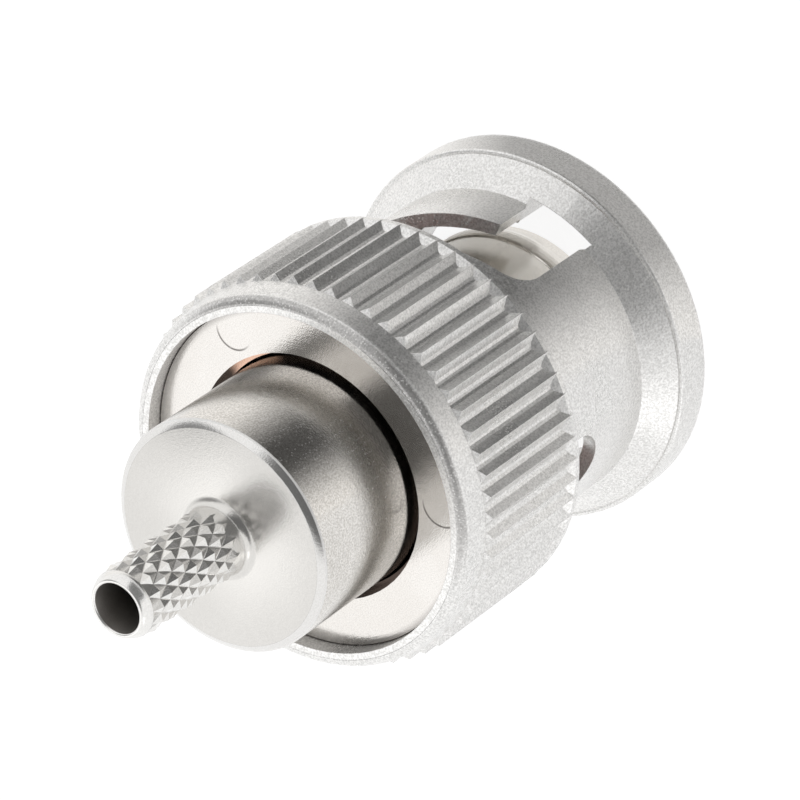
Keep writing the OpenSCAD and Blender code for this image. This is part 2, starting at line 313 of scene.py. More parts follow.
def fill_band(t: Tree, given: Node, out: Node) -> None:
    """A mask that is one between two values, with soft ends.

    Args:
        t: The group's tree.
        given: The group's inputs: Value, Low, High and Soft.
        out: The group's output: Mask.
    """
    g = given.outputs
    half = t.math("MULTIPLY", g["Soft"], 0.5)
    ends = [(t.math("SUBTRACT", g[k], half), t.math("ADD", g[k], half)) for k in ("Low", "High")]
    rise = t.ramp(g["Value"], *ends[0])
    fall = t.ramp(g["Value"], *ends[1], 1.0, 0.0)
    t.put(out.inputs["Mask"], t.math("MULTIPLY", rise, fall))


def fill_haze(t: Tree, given: Node, out: Node) -> None:
    """Soft patches, Patch millimetres wide, where plating and handling leave a surface duller."""
    place = t.by_size(given.outputs["Vector"], given.outputs["Patch"])
    t.put(out.inputs["Haze"], t.ramp(t.noise(place, 1.0, 4.0), 0.35, 0.68))


def fill_stake(t: Tree, given: Node, out: Node) -> None:
    """The line of a round mark struck into a flat face, darkened on one side as painted shade.

    Args:
        t: The group's tree.
        given: The group's inputs: Vector, Radius, Size and Line in millimetres,
            and Turn and Side in degrees.
        out: The group's output: Edge, the mark's line on its side of painted shade.
    """
    g = given.outputs
    place = t.split(g["Vector"])
    turn, side = (t.math("MULTIPLY", g[name], math.radians(1.0)) for name in ("Turn", "Side"))
    inward = t.math("MULTIPLY", g["Radius"], -1.0)
    x, y = (
        t.math("MULTIPLY_ADD", t.math(wave, turn), inward, t.math("MULTIPLY", part, PER_MM))
        for wave, part in zip(("COSINE", "SINE"), place)
    )
    away = t.math("SQRT", t.math("MULTIPLY_ADD", x, x, t.math("MULTIPLY", y, y)))
    sideways = t.math("MULTIPLY", y, t.math("SINE", side))
    lean = t.math("MULTIPLY_ADD", x, t.math("COSINE", side), sideways)
    off = t.math("ABSOLUTE", t.math("SUBTRACT", away, g["Size"]))
    shaded_side = t.ramp(t.math("DIVIDE", lean, g["Size"]), 0.1, 0.9)
    t.put(out.inputs["Edge"], t.math("MULTIPLY", t.ramp(off, g["Line"], 0.0), shaded_side))


def fill_edge_highlight(t: Tree, given: Node, out: Node) -> None:
    """Painted edge highlights, where a rounded normal leaves the true one.

    Args:
        t: The group's tree.
        given: The group's inputs: Rounded, the normal with rounded edges, and Reach.
        out: The group's output: Edge.
    """
    same = t.dot(t.add("ShaderNodeNewGeometry").outputs["Normal"], given.outputs["Rounded"])
    edge = t.ramp(t.math("SUBTRACT", 1.0, same), 0.0, given.outputs["Reach"])
    t.put(out.inputs["Edge"], edge)


class Effects:
    """The shader node groups that the finishes share."""

    def __init__(self) -> None:
        """Builds each group once."""
        made, stake = shader_group, "Vector Radius Turn Size Line Side"
        self.grain = made("Blasted grain", fill_grain, "Vector Grain Flecks", "Height Tone Fleck")
        self.polar = made("Polar place", fill_polar, "Vector", "Radius Turn Rise")
        self.turning = made("Turning marks", fill_turning, "Radius Rise Pitch Faced", "Height")
        self.haze = made("Handling haze", fill_haze, "Vector Patch", "Haze")
        self.band = made("Soft band", fill_band, "Value Low High Soft", "Mask")
        self.stake = made("Round stake", fill_stake, stake, "Edge")
        self.edge_highlight = made("Painted edge highlights", fill_edge_highlight, "Rounded Reach", "Edge")


# Finishes.


@dataclass(frozen=True)
class Span:
    """A range of a value, with the width of its soft ends."""

    low: float
    high: float
    soft: float


@dataclass
class Paint:
    """One material while it is being made, with the surface's place already read."""

    tree: Tree
    effects: Effects
    point: Socket
    radius: Socket
    turn: Socket
    rise: Socket

    def group(self, tree: bpy.types.NodeTree, **values: object) -> Node:
        """Places a shared group with its own values.

        Args:
            tree: The group.
            **values: Its inputs, each a socket or a number.

        Returns:
            The group's node.
        """
        node = self.tree.add("ShaderNodeGroup", node_tree=tree)
        if "Vector" in node.inputs:
            self.tree.put(node.inputs["Vector"], self.point)
        for key, value in values.items():
            self.tree.put(node.inputs[key], value)
        return node

    def band(self, value: Socket, span: Span) -> Socket:
        """Masks the places where a value lies in a span."""
        limits = {"Low": span.low, "High": span.high, "Soft": span.soft}
        return self.group(self.effects.band, Value=value, **limits).outputs["Mask"]

    def bump(self, height: Socket, depth: object, normal: Socket | None) -> Socket:
        """Bends the normal by a height.

        Args:
            height: The height, between 0 and about 1.
            depth: Metres for a height of 1, as a socket or a number.
            normal: The normal so far, if any.

        Returns:
            The bent normal.
        """
        bump = self.tree.add("ShaderNodeBump")
        inputs = {"Strength": 1.0, "Distance": depth, "Height": height}
        if normal is not None:
            inputs["Normal"] = normal
        for name, value in inputs.items():
            self.tree.put(bump.inputs[name], value)
        return bump.outputs[0]


@dataclass(frozen=True)
class Detail:
    """What a finish adds in one place: smoother, darker with marks or painted shade, painted
    brighter, or raised.
    """

    smooth: Socket | None = None
    marks_and_shade: Socket | None = None
    glint: Socket | None = None
    relief: Socket | None = None


@dataclass(frozen=True)
class Finish:
    """A surface finish: a Principled shader with grain, turning marks and haze.

    The grain, the pitch and the patches are sizes in millimetres. So are the depths
    grain_depth and turning, the rounding edge_round and the height fleck_from.
    """

    name: str
    colour: Triple
    dark: Triple
    roughness: float
    rough_spread: float = 0.06
    metallic: float = 1.0
    grain: float = 0.05
    grain_depth: float = 0.003
    flecks: float = 0.0
    sparkle: float = 0.4
    fleck_from: float = -1.0
    turning: float = 0.0
    pitch: float = 0.05
    marks: Marks = Marks.ROUND
    patch: float = 3.0
    edge_round: float = 0.0
    # Painted edge highlights: how strong, and how far a rounded normal must turn for them.
    edge_highlight: float = 0.0
    edge_highlight_reach: float = 0.12
    contrast: float = 0.6
    # The dark colour that marks and painted shade blend towards.
    marks_and_shade_colour: Triple = (0.05, 0.04, 0.035)
    # The near-white colour of painted highlights, which also take metal away.
    bright: Triple = (0.95, 0.94, 0.92)
    bright_dulling: float = 0.8
    relief_depth: float = 0.0

    def detail(self, paint: Paint) -> Detail:
        """Gives the masks of what only some places of this finish have."""
        return Detail()

    def glints(self, paint: Paint, fleck: Socket, extra: Detail, rounded: Socket | None) -> object:
        """Gathers every painted highlight: sparkle on flecks, the finish's glints and edge
        highlights.

        Args:
            paint: The material being made.
            fleck: The grain's mask of bright facets.
            extra: The finish's own masks.
            rounded: The normal with rounded edges, if any.

        Returns:
            One mask, or None where nothing is painted brighter.
        """
        t = paint.tree
        masks = []
        # Painted sparkle: flecks painted bright above the height fleck_from.
        if self.flecks:
            above = t.math("GREATER_THAN", paint.rise, self.fleck_from)
            masks.append(t.fold("MULTIPLY", fleck, self.sparkle, above))
        if extra.glint is not None:
            masks.append(extra.glint)
        # Painted edge highlights along the rounded edges.
        if rounded is not None:
            highlit_edges = paint.group(paint.effects.edge_highlight, Rounded=rounded, Reach=self.edge_highlight_reach)
            masks.append(t.math("MULTIPLY", highlit_edges.outputs["Edge"], self.edge_highlight))
        return t.fold("MAXIMUM", *masks) if masks else None

    def bumps(self, paint: Paint, height: Socket, extra: Detail, normal: object) -> object:
        """Bends the normal by the grain, the tool marks and the finish's own relief.

        Args:
            paint: The material being made.
            height: The grain's height.
            extra: The finish's own masks.
            normal: The normal with rounded edges, if any.

        Returns:
            The bent normal.
        """
        t = paint.tree
        depth: object = self.grain_depth * MM
        if extra.smooth is not None:
            depth = t.math("MULTIPLY", t.math("SUBTRACT", 1.0, extra.smooth), depth)
        normal = paint.bump(height, depth, normal)
        if self.turning:
            faced = float(self.marks is Marks.FACED)
            spot = {"Radius": paint.radius, "Rise": paint.rise}
            lines = paint.group(paint.effects.turning, **spot, Pitch=self.pitch, Faced=faced)
            normal = paint.bump(lines.outputs["Height"], self.turning * MM, normal)
        if extra.relief is not None:
            normal = paint.bump(extra.relief, self.relief_depth * MM, normal)
        return normal

    def build(self, effects: Effects) -> bpy.types.Material:
        """Makes the material.

        Args:
            effects: The shared node groups.

        Returns:
            The material.
        """
        material = bpy.data.materials.new(self.name)
        material.use_nodes = True
        t = Tree(material.node_tree)
        shader = material.node_tree.nodes["Principled BSDF"]
        point = t.add("ShaderNodeTexCoord").outputs["Object"]
        polar = t.fed("ShaderNodeGroup", point, node_tree=effects.polar).outputs
        paint = Paint(t, effects, point, polar["Radius"], polar["Turn"], polar["Rise"])
        extra = self.detail(paint)
        haze = paint.group(effects.haze, Patch=self.patch).outputs["Haze"]
        grain = paint.group(effects.grain, Grain=self.grain, Flecks=self.flecks).outputs
        rest = t.math("MULTIPLY", haze, 1.0 - self.contrast)
        tone = t.math("MULTIPLY_ADD", grain["Tone"], self.contrast, rest)
        tint = t.blend(tone, self.dark, self.colour)
        # Darkens the tint with the finish's marks and its painted shade.
        if extra.marks_and_shade is not None:
            tint = t.blend(extra.marks_and_shade, tint, self.marks_and_shade_colour)
        rounded = None
        if self.edge_round:
            bevel = t.add("ShaderNodeBevel", samples=6)
            t.put(bevel.inputs["Radius"], self.edge_round * MM)
            rounded = bevel.outputs[0]
        # Painted highlights blend the tint towards near white and take metal away.
        glint = self.glints(paint, grain["Fleck"], extra, rounded)
        metallic: object = self.metallic
        if glint is not None:
            tint = t.blend(glint, tint, self.bright)
            drop = -self.bright_dulling * self.metallic
            metallic = t.math("MULTIPLY_ADD", glint, drop, self.metallic)
        smoothest = self.roughness - self.rough_spread / 2
        rough = t.math("MULTIPLY_ADD", haze, self.rough_spread, smoothest)
        normal = self.bumps(paint, grain["Height"], extra, rounded)
        fed = {"Metallic": metallic, "Base Color": tint, "Roughness": rough, "Normal": normal}
        for name, value in fed.items():
            t.put(shader.inputs[name], value)
        return material


@dataclass(frozen=True)
class BlastedNut(Finish):
    """The nut's blasted nickel, with the smooth lip that is rolled over the plate."""

    rear_z: float = 14.4
    lip: Span = Span(5.0, 6.56, 0.03)
    lip_smooth: float = 0.85
    # Painted shade: a dark band just outside the lip, over one side of the nut only.
    line: Span = Span(6.56, 6.86, 0.05)
    line_turn: Span = Span(-75.0, 60.0, 30.0)
    line_painted_shade: float = 0.42
    # Painted shade: the foot of the wall round the plate, darker down towards the plate.
    foot: Span = Span(6.17, 6.3, 0.02)
    foot_rise: Triple = (13.8, 14.05, 14.45)
    foot_painted_shade: float = 0.8
    # The inner faces below inner_z, slightly darker: partly their duller finish, partly painted
    # shade.
    inner: Span = Span(1.0, 5.9, 0.04)
    inner_z: float = 8.3
    inner_painted_shade: float = 0.05
    pit_turn: Span = Span(-14.0, 24.0, 14.0)
    pit_rise: Span = Span(4.6, 8.4, 0.8)
    pit_grain: float = 0.16
    pit_soot: float = 0.3

    def detail(self, paint: Paint) -> Detail:
        """Masks the rolled lip, the neck's pits, and painted shade beside the lip, on the duller
        inner faces and at the plate seat's foot.

        Args:
            paint: The material being made.

        Returns:
            The masks.
        """
        t = paint.tree
        rear = t.math("GREATER_THAN", paint.rise, self.rear_z)
        lip = t.math("MULTIPLY", paint.band(paint.radius, self.lip), rear)
        line = paint.band(paint.radius, self.line)
        line = t.fold("MULTIPLY", line, paint.band(paint.turn, self.line_turn), rear)
        lowest, full, top = self.foot_rise
        above = t.math("GREATER_THAN", paint.rise, lowest)
        fade = t.ramp(paint.rise, top, full)
        foot = t.fold("MULTIPLY", paint.band(paint.radius, self.foot), fade, above)
        below = t.math("LESS_THAN", paint.rise, self.inner_z)
        inner = t.math("MULTIPLY", paint.band(paint.radius, self.inner), below)
        patch = paint.band(paint.turn, self.pit_turn)
        patch = t.math("MULTIPLY", patch, paint.band(paint.rise, self.pit_rise))
        pits = paint.group(paint.effects.grain, Grain=self.pit_grain, Flecks=0.0)
        pits = t.math("MULTIPLY", pits.outputs["Tone"], patch)
        # The pits are the nut's own marks; the line, the inner faces and the foot are painted
        # shade.
        shares = (self.line_painted_shade, self.inner_painted_shade, self.foot_painted_shade, self.pit_soot)
        masks = zip((line, inner, foot, pits), shares)
        marks_and_shade = [t.math("MULTIPLY", mask, share) for mask, share in masks]
        smooth = t.math("MULTIPLY", lip, self.lip_smooth)
        return Detail(smooth=smooth, marks_and_shade=t.fold("MAXIMUM", *marks_and_shade), relief=lip)


@dataclass(frozen=True)
class StakedPlate(Finish):
    """The plate's faced nickel, with its seam and the stakes beside it."""

    seam: Span = Span(6.27, 9.0, 0.02)
    # Painted shade, fading in over seam_fade millimetres towards the seam.
    seam_fade: float = 0.3
    fade_painted_shade: float = 0.4
    stakes: tuple[Triple, ...] = ((5.60, 56.0, 0.72), (5.54, -60.4, 0.76))
    stake_line: float = 0.06
    # The side of each stake's line that is darkened as painted shade, and how dark.
    stake_side: float = 185.0
    stake_painted_shade: float = 0.9

    def detail(self, paint: Paint) -> Detail:
        """Masks the seam round the plate, painted shade fading in towards it, and the struck marks
        beside it, darkened on one side as painted shade.

        Args:
            paint: The material being made.

        Returns:
            The masks.
        """
        t = paint.tree
        start = self.seam.low - self.seam_fade
        fade = t.ramp(paint.radius, start, self.seam.low, 0.0, self.fade_painted_shade)
        marks_and_shade = t.math("MAXIMUM", paint.band(paint.radius, self.seam), fade)
        shape = {"Line": self.stake_line, "Side": self.stake_side}
        for radius, turn, size in self.stakes:
            spot = {"Radius": radius, "Turn": turn, "Size": size}
            edge = paint.group(paint.effects.stake, **spot, **shape).outputs["Edge"]
            marks_and_shade = t.math("MAXIMUM", marks_and_shade, t.math("MULTIPLY", edge, self.stake_painted_shade))
        return Detail(marks_and_shade=marks_and_shade)


@dataclass(frozen=True)
class GapShadedBronze(Finish):
    """The washers' bronze, darkened brown as painted shade of the gap, and left bright as a
    painted glint over one span of turns.
    """

    # Painted glint over these turns, painted shade of the gap everywhere else.
    painted_glint: Span = Span(46.0, 74.0, 9.0)
    painted_gap_shade: float = 0.97
    glint_clears_shade: float = 0.92

    def detail(self, paint: Paint) -> Detail:
        """Masks the painted shade, cleared over the painted glint's turns."""
        painted_glint = paint.band(paint.turn, self.painted_glint)
        return Detail(marks_and_shade=paint.tree.math("MULTIPLY_ADD", painted_glint, -self.glint_clears_shade, self.painted_gap_shade))


@dataclass(frozen=True)
class CutEdge(Finish):
    """The body's cut chamfer, with painted shade along its inner edge and a painted highlight
    along its outer edge.
    """

    # Painted shade in the crease along the chamfer's inner edge.
    inner: Span = Span(3.935, 3.99, 0.015)
    inner_painted_shade: float = 0.8
    # Painted highlight along the chamfer's outer edge.
    edge_glint: Span = Span(4.22, 4.375, 0.015)

    def detail(self, paint: Paint) -> Detail:
        """Masks the two lines: painted shade inside, a painted highlight outside."""
        line = paint.tree.math("MULTIPLY", paint.band(paint.radius, self.inner), self.inner_painted_shade)
        return Detail(marks_and_shade=line, glint=paint.band(paint.radius, self.edge_glint))


FINISHES = (
    BlastedNut(
        "pearl_nickel", (1.0, 0.99, 0.975), (0.68, 0.675, 0.66), 0.30, metallic=0.72, grain=0.075,
        grain_depth=0.006, flecks=0.6, sparkle=0.75, edge_round=0.03, edge_highlight=0.6, contrast=0.9,
        relief_depth=0.03,
    ),
    StakedPlate(
        "plate_nickel", (0.71, 0.69, 0.665), (0.60, 0.575, 0.545), 0.14, grain_depth=0.004,
        flecks=0.22, sparkle=0.25, turning=0.0015, marks=Marks.FACED,
    ),
    Finish(
        "satin_nickel", (0.80, 0.78, 0.75), (0.52, 0.50, 0.47), 0.15, grain=0.065,
        grain_depth=0.004, flecks=0.35, sparkle=0.42, fleck_from=14.9, turning=0.001, pitch=0.03,
        contrast=0.8,
    ),
    Finish(
        "faced_nickel", (0.73, 0.715, 0.69), (0.66, 0.645, 0.62), 0.24, turning=0.001,
        marks=Marks.FACED,
    ),
    CutEdge("cut_nickel", (0.80, 0.79, 0.78), (0.70, 0.69, 0.67), 0.12),
    Finish("bright_nickel", (0.90, 0.89, 0.87), (0.78, 0.77, 0.75), 0.19, metallic=0.84),
    Finish("contact_nickel", (0.88, 0.85, 0.80), (0.76, 0.73, 0.68), 0.22, turning=0.003),
    GapShadedBronze("bronze", (0.78, 0.53, 0.40), (0.60, 0.38, 0.27), 0.28),
    GapShadedBronze("washer_bronze", (0.78, 0.52, 0.40), (0.60, 0.38, 0.28), 0.22),
    # Painted shade: the inside of the stem's bore is coloured far darker than its nickel.
    Finish("bore_nickel", (0.42, 0.40, 0.38), (0.34, 0.325, 0.31), 0.45),
    Finish(
        "silicone", (0.50, 0.08, 0.04), (0.42, 0.06, 0.03), 0.55, metallic=0.0, grain=0.08,
        grain_depth=0.004,
    ),
    Finish(
        "ptfe", (0.88, 0.87, 0.84), (0.82, 0.81, 0.78), 0.45, metallic=0.0, grain=0.08,
        turning=0.004,
    ),
    Finish("gold", (0.94, 0.70, 0.32), (0.86, 0.60, 0.25), 0.22, grain_depth=0.002, turning=0.002),
)


# Meshes.


def link(name: str, data: bpy.types.ID) -> bpy.types.Object:
    """Makes an object and puts it in the scene.

    Args:
        name: The object's name.
        data: Its mesh, camera or light.

    Returns:
        The new object.
    """
    made = bpy.data.objects.new(name, data)
    bpy.context.scene.collection.objects.link(made)
    return made


def soften(outline: Profile, radius: float, steps: int = 3) -> Profile:
    """Rounds every corner of a closed outline.

    Args:
        outline: Corners as radius and height, in millimetres.
        radius: The rounding, shortened where a side is short.
        steps: Straight pieces in each rounding.

    Returns:
        The rounded outline.
    """
    straight, longest_share = math.radians(165), 0.45
    made: Profile = []
    for i, corner in enumerate(outline):
        here = Vector(corner)
        back = Vector(outline[i - 1]) - here
        on = Vector(outline[(i + 1) % len(outline)]) - here
        turn = back.angle(on)
        if turn > straight:
            made.append(corner)
            continue
        shortest = longest_share * min(back.length, on.length)
        reach = min(radius / math.tan(turn / 2), shortest)
        first, last = here + back.normalized() * reach, here + on.normalized() * reach
        for k in range(steps + 1):
            s = k / steps
            point = first * (1 - s) ** 2 + here * 2 * s * (1 - s) + last * s**2
            made.append((point.x, point.y))
    return made


def lathe(name: str, outline: Profile, steps: int) -> bpy.types.Object:
    """Turns a closed outline round the Z axis.

    Args:
        name: The new object's name.
        outline: Radius and height in millimetres, none on the axis.
        steps: Flats round the piece.

    Returns:
        The new object, smooth shaded.
    """
    form = bmesh.new()
    angles = [2 * math.pi * k / steps for k in range(steps)]
    rings = [
        [form.verts.new((r * MM * math.cos(a), r * MM * math.sin(a), z * MM)) for a in angles]
        for r, z in outline
    ]
    for ring, other in zip(rings, rings[1:] + rings[:1]):
        for k in range(steps):
            on = (k + 1) % steps
            form.faces.new((ring[k], ring[on], other[on], other[k]))
    bmesh.ops.recalc_face_normals(form, faces=form.faces)
    mesh = bpy.data.meshes.new(name)
    form.to_mesh(mesh)
    form.free()
    mesh.shade_smooth()
    return link(name, mesh)


def dress(piece: bpy.types.Object, *materials: bpy.types.Material) -> None:
    """Gives a piece materials in place of those it has.

    Args:
        piece: The piece.
        *materials: Its new materials.
    """
    piece.data.materials.clear()
    for material in materials:
        piece.data.materials.append(material)


def place(piece: bpy.types.Object, body: Body, slot: str, *nodes: str) -> None:
    """Sets a finished piece on its body's empty, and hides the CAD nodes that it stands for.

    Args:
        piece: The finished piece.
        body: The body it rides on.
        slot: The record's material slot; not used.
        *nodes: CAD nodes that it stands for.
    """
    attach(piece, body.value)
    if nodes:
        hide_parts(*nodes)
    log.info("%s: %d faces, rides on %s", piece.name, len(piece.data.polygons), body.value)


# The plug.


@dataclass
class Knurl:
    """The rolled diamond knurl on the crimp stem."""

    columns: int = 14
    rows: int = 9
    row_pitch: float = 0.4975
    first_row: float = 19.8
    first_turn: float = -37.0
    root: float = 1.17
    crest: float = 1.305
    fill: float = 0.97

    def sizes(self) -> dict[str, int | float]:
        """Gives the node tree's number inputs, with lengths in metres and angles in radians."""
        half_turn = math.pi / self.columns
        return {
            "Columns": self.columns,
            "Rows": self.rows,
            "Row Pitch": self.row_pitch * MM,
            "First Row": self.first_row * MM,
            "First Turn": math.radians(self.first_turn),
            "Root Radius": self.root * MM,
            "Crest Height": (self.crest - self.root) * MM,
            "Half Width": self.fill * self.root * math.sin(half_turn) * MM,
            "Half Length": self.fill * self.row_pitch * MM,
        }

    def places(self, t: Tree, g: Sequence[Socket]) -> Node:
        """Sets the pyramids round the stem as points on its axis, each row half a step on.

        Args:
            t: The tree.
            g: The tree's inputs.

        Returns:
            The instancing node, which still needs its instance.
        """
        points = t.fed("GeometryNodePoints", t.math("MULTIPLY", g["Columns"], g["Rows"]))
        index = t.add("GeometryNodeInputIndex").outputs[0]
        row = t.math("FLOOR", t.math("DIVIDE", index, g["Columns"]))
        column = t.math("SUBTRACT", index, t.math("MULTIPLY", row, g["Columns"]))
        shift = t.math("MULTIPLY", t.math("MODULO", row, 2.0), 0.5)
        share = t.math("DIVIDE", t.math("ADD", column, shift), g["Columns"])
        turn = t.math("MULTIPLY_ADD", share, 2 * math.pi, g["First Turn"])
        height = t.math("MULTIPLY_ADD", row, g["Row Pitch"], g["First Row"])
        t.put(points.inputs["Position"], t.join(0.0, 0.0, height))
        copies = t.fed("GeometryNodeInstanceOnPoints", points.outputs[0])
        t.put(copies.inputs["Rotation"], t.join(0.0, 0.0, turn))
        return copies

    def pyramid(self, t: Tree, g: Sequence[Socket]) -> Socket:
        """Makes one pyramid that stands out from the axis, bent to the stem's round.

        Args:
            t: The tree.
            g: The tree's inputs.

        Returns:
            The pyramid's geometry.
        """
        cone = t.add("GeometryNodeMeshCone")
        shape = {"Vertices": 4, "Radius Top": 0.0, "Radius Bottom": 1.0, "Depth": 1.0}
        for name, value in shape.items():
            t.put(cone.inputs[name], value)
        form = cone.outputs["Mesh"]
        size = t.join(*(g[name] for name in ("Crest Height", "Half Width", "Half Length")))
        lay = (0.0, math.pi / 2, 0.0)
        moves = (("Rotation", lay), ("Scale", size), ("Translation", t.join(g["Root Radius"])))
        for name, value in moves:
            move = t.add("GeometryNodeTransform")
            t.put(move.inputs["Geometry"], form)
            t.put(move.inputs[name], value)
            form = move.outputs[0]
        across = t.split(t.add("GeometryNodeInputPosition").outputs[0])[1]
        square = t.math("MULTIPLY", across, across)
        drop = t.math("DIVIDE", square, t.math("MULTIPLY", g["Root Radius"], -2.0))
        wrap = t.add("GeometryNodeSetPosition")
        t.put(wrap.inputs["Geometry"], form)
        t.put(wrap.inputs["Offset"], t.join(drop))
        return wrap.outputs[0]

    def tree(self) -> bpy.types.NodeTree:
        """Builds the Geometry Nodes tree, with a named input for each size and the material."""
        group = bpy.data.node_groups.new("Diamond knurl", "GeometryNodeTree")
        kinds = {name: "Int" if name in ("Columns", "Rows") else "Float" for name in self.sizes()}
        kinds = {"Geometry": "Geometry", **kinds, "Material": "Material"}
        for name, kind in kinds.items():
            group.interface.new_socket(name, in_out="INPUT", socket_type="NodeSocket" + kind)
        group.interface.new_socket("Geometry", in_out="OUTPUT", socket_type="NodeSocketGeometry")
        t = Tree(group)
        g = t.add("NodeGroupInput").outputs
        copies = self.places(t, g)
        t.put(copies.inputs["Instance"], self.pyramid(t, g))
        real = t.fed("GeometryNodeRealizeInstances", copies.outputs[0])
        paint = t.add("GeometryNodeSetMaterial")
        t.put(paint.inputs["Geometry"], real.outputs[0])
        t.put(paint.inputs["Material"], g["Material"])
        t.fed("NodeGroupOutput", paint.outputs[0])
        return group

    def make(self, name: str, material: bpy.types.Material) -> bpy.types.Object:
        """Runs the tree and keeps its result as a plain mesh.

        Args:
            name: The piece's name.
            material: The pyramids' material.

        Returns:
            The knurl as one mesh.
        """
        seat = link(name + "_seat", bpy.data.meshes.new(name + "_seat"))
        rule = seat.modifiers.new("knurl", "NODES")
        rule.node_group = self.tree()
        values = {**self.sizes(), "Material": material}
        for item in rule.node_group.interface.items_tree:
            if item.in_out == "INPUT" and item.name in values:
                rule[item.identifier] = values[item.name]
        graph = bpy.context.evaluated_depsgraph_get()
        mesh = bpy.data.meshes.new_from_object(seat.evaluated_get(graph))
        bpy.data.objects.remove(seat)
        mesh.name = name
        mesh.shade_flat()
        piece = link(name, mesh)
        dress(piece, material)
        return piece


@dataclass
class PlugBody:
    """The turned body with its shoulder and crimp stem."""

    body_r: float = 4.275
    shoulder_r: float = 6.0
    tail_r: float = 3.735
    chamber_r: float = 2.575
    bore_r: float = 0.91
    shoulder_front: float = 10.9
    shoulder_rear: float = 11.6
    tail_end: float = 14.55
    wall_front: float = 16.8
    chamfer_front: float = 18.85
    body_end: float = 19.05
    chamfer_width: float = 0.31
    corner: float = 0.035
    relief_r: float = 1.205
    flare: float = 0.35
    flare_steps: int = 5
    relief_slope: float = 0.03
    relief_end: float = 19.72
    root_start: float = 19.86
    root_to_tip: float = 0.46
    nose: tuple[tuple[float, float], ...] = ((1.22, 0.38), (1.20, 0.30), (1.09, 0.07), (1.03, 0.0))
    bore_chamfer: tuple[float, float] = (0.03, 0.05)
    flats: int = 192
    knurl: Knurl = field(default_factory=Knurl)

    def outline(self) -> Profile:
        """Gives the body's closed outline, as radius and height in millimetres."""
        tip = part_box("plug_body")[1][2] / MM
        root = self.knurl.root
        flare = []
        for k in range(self.flare_steps + 1):
            a = math.pi / 2 * (1 - k / self.flare_steps)
            r = self.relief_r + self.flare * (1 - math.cos(a))
            flare.append((r, self.body_end + self.flare * (1 - math.sin(a))))
        body = [
            (self.tail_r, self.shoulder_front),
            (self.shoulder_r, self.shoulder_front),
            (self.shoulder_r, self.shoulder_rear),
            (self.body_r, self.shoulder_rear),
            (self.body_r, self.chamfer_front),
            (self.body_r - self.chamfer_width, self.body_end),
        ]
        opening, depth = self.bore_chamfer
        stem = [
            (self.relief_r + self.relief_slope, self.relief_end),
            (root, self.root_start),
            (root, tip - self.root_to_tip),
            *((radius, tip - below) for radius, below in self.nose),
            (self.bore_r + opening, tip),
            (self.bore_r, tip - depth),
        ]
        inside = [
            (self.bore_r, self.wall_front),
            (self.chamber_r, self.wall_front),
            (self.chamber_r, self.tail_end),
            (self.tail_r, self.tail_end),
        ]
        return soften(body, self.corner)[2:-2] + flare + stem + inside

    def zone(self, centre: Vector) -> str:
        """Picks a face's finish by where it lies, a little inside each zone's ends.

        Args:
            centre: The face's centre.

        Returns:
            The finish's name.
        """
        r, z = centre.xy.length / MM, centre.z / MM
        slack, edge, flare_share = 0.005, 0.02, 0.25
        if r < self.bore_r + slack:
            return "bore_nickel"
        if z > self.body_end + flare_share:
            return "bright_nickel"
        if z > self.body_end - edge and r < self.body_r - self.chamfer_width - edge:
            return "faced_nickel"
        if z > self.chamfer_front - 2 * edge:
            return "cut_nickel"
        return "satin_nickel"

    def build(self, stock: Stock) -> None:
        """Makes the body and its knurl.

        Args:
            stock: The materials by name.
        """
        turned = lathe("turned_body", self.outline(), self.flats)
        names = ("satin_nickel", "bright_nickel", "cut_nickel", "faced_nickel", "bore_nickel")
        dress(turned, *(stock[name] for name in names))
        for face in turned.data.polygons:
            face.material_index = names.index(self.zone(face.center))
        place(turned, Body.PLUG, "satin_nickel", "plug_body")
        knurl = self.knurl.make("stem_knurl", stock["bright_nickel"])
        place(knurl, Body.PLUG, "satin_nickel")


# Pieces kept as built.


@dataclass
class Assembly:
    """A set of pieces that keep the frame's exact shape and take new finishes."""

    body: Body
    finishes: dict[str, str] = field(default_factory=dict)

    def build(self, stock: Stock) -> None:
        """Dresses each piece.

        Args:
            stock: The materials by name.
        """
        for node, finish in self.finishes.items():
            dress(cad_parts[node], stock[finish])
            log.info("%s: %s, rides on %s", node, finish, self.body.value)


@dataclass
class Coupling(Assembly):
    """The bayonet nut, and the plate that holds it on the plug."""

    body: Body = Body.NUT
    finishes: dict[str, str] = field(
        default_factory=lambda: {"coupling_nut": "pearl_nickel", "retaining_plate": "plate_nickel"}
    )


@dataclass
class Springs(Assembly):
    """The washers that pull the plug into its jack."""

    body: Body = Body.THRUST
    finishes: dict[str, str] = field(default_factory=lambda: {"thrust_washer": "washer_bronze"})
    seat_z: float = 11.6
    rest_height: float = 1.5
    travel: float = 0.7
    weld: float = 0.002
    sharp_from: float = 35.0

    def build(self, stock: Stock) -> None:
        """Dresses the thrust washer, and makes the wave washers from a welded copy of their CAD
        mesh.

        Args:
            stock: The materials by name.
        """
        super().build(stock)
        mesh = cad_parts["wave_washers"].data.copy()
        mesh.name = "spring_washers"
        work = bmesh.new()
        work.from_mesh(mesh)
        bmesh.ops.remove_doubles(work, verts=work.verts, dist=self.weld * MM)
        bmesh.ops.recalc_face_normals(work, faces=work.faces)
        work.to_mesh(mesh)
        work.free()
        mesh.shade_smooth()
        mesh.set_sharp_from_angle(angle=math.radians(self.sharp_from))
        washers = link("spring_washers", mesh)
        dress(washers, stock["bronze"])
        place(washers, Body.PLUG, "bronze", "wave_washers")
        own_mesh(washers)


@dataclass
class Mating(Assembly):
    """The spring sleeve, its seal, the insulators and the pin."""

    body: Body = Body.PLUG
    finishes: dict[str, str] = field(
        default_factory=lambda: {
            "outer_contact": "contact_nickel",
            "sealing_gasket": "silicone",
            "front_insulator": "ptfe",
            "rear_insulator": "ptfe",
            "centre_contact": "gold",
        }
    )


